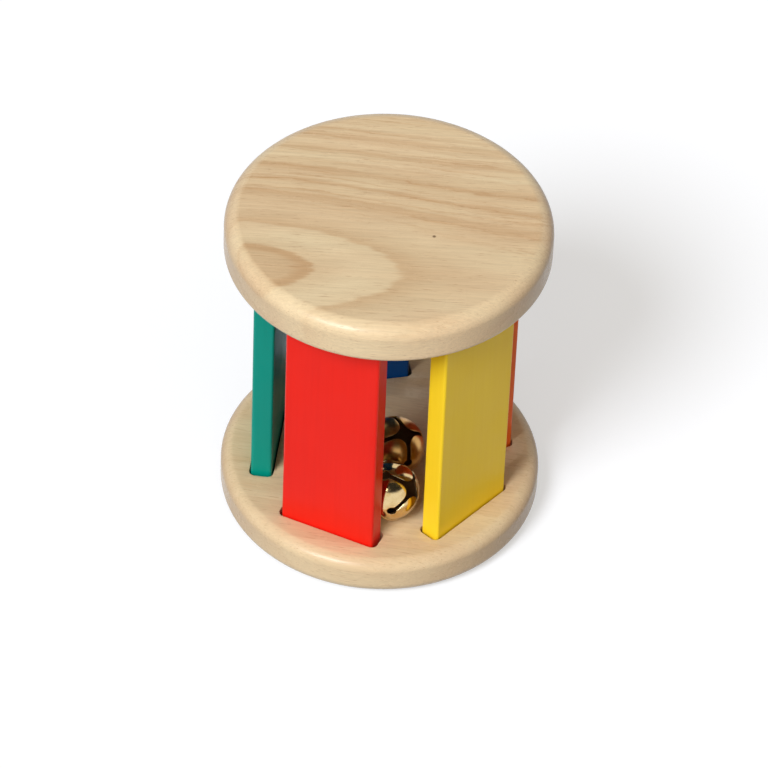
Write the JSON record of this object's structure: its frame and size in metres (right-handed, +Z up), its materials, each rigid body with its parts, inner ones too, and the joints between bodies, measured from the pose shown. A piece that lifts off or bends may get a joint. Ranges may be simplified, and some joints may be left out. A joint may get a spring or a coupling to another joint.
{
  "type": "roller rattle",
  "caption": "Wooden roller rattle that stands on end: round ends joined by flat painted slats around an open cage, with loose brass jingle bells that ring as it rolls.",
  "frame": {"origin": "centre of the lower end's outer face, on the surface that the roller stands on", "axes": "+Z up along the roller's axis; -Y towards the front, the side that the picture was taken from; +X to the right"},
  "size_m": [0.09, 0.09, 0.102],
  "materials": {
    "pale_wood": "satin lacquer",
    "red_paint": "satin paint",
    "yellow_paint": "satin paint",
    "orange_paint": "satin paint",
    "blue_paint": "satin paint",
    "teal_paint": "satin paint",
    "bright_brass": "polished",
    "steel_pellet": "polished"
  },
  "bodies": {
    "cage": {"top_disc": "pale_wood", "bottom_disc": "pale_wood", "slat_red": "red_paint", "slat_yellow": "yellow_paint", "slat_orange": "orange_paint", "slat_blue": "blue_paint", "slat_teal": "teal_paint"},
    "front_bell": {"front_bell_dome": "bright_brass", "front_bell_petals": "bright_brass", "front_bell_loop": "bright_brass"},
    "front_pellet": {"front_bell_pellet": "steel_pellet"},
    "back_bell": {"back_bell_dome": "bright_brass", "back_bell_petals": "bright_brass", "back_bell_loop": "bright_brass"},
    "back_pellet": {"back_bell_pellet": "steel_pellet"}
  },
  "joints": [
    {"name": "front_bell_slide", "type": "slide", "parent": "cage", "child": "front_bell", "axis": [0, 0, 1], "range_m": [0, 0.061]},
    {"name": "front_pellet_slide", "type": "slide", "parent": "front_bell", "child": "front_pellet", "axis": [0, 0, 1], "range_m": [0, 0.0102]},
    {"name": "back_bell_slide", "type": "slide", "parent": "cage", "child": "back_bell", "axis": [0, 0, 1], "range_m": [0, 0.0603]},
    {"name": "back_pellet_slide", "type": "slide", "parent": "back_bell", "child": "back_pellet", "axis": [0, 0, 1], "range_m": [0, 0.0102]}
  ]
}
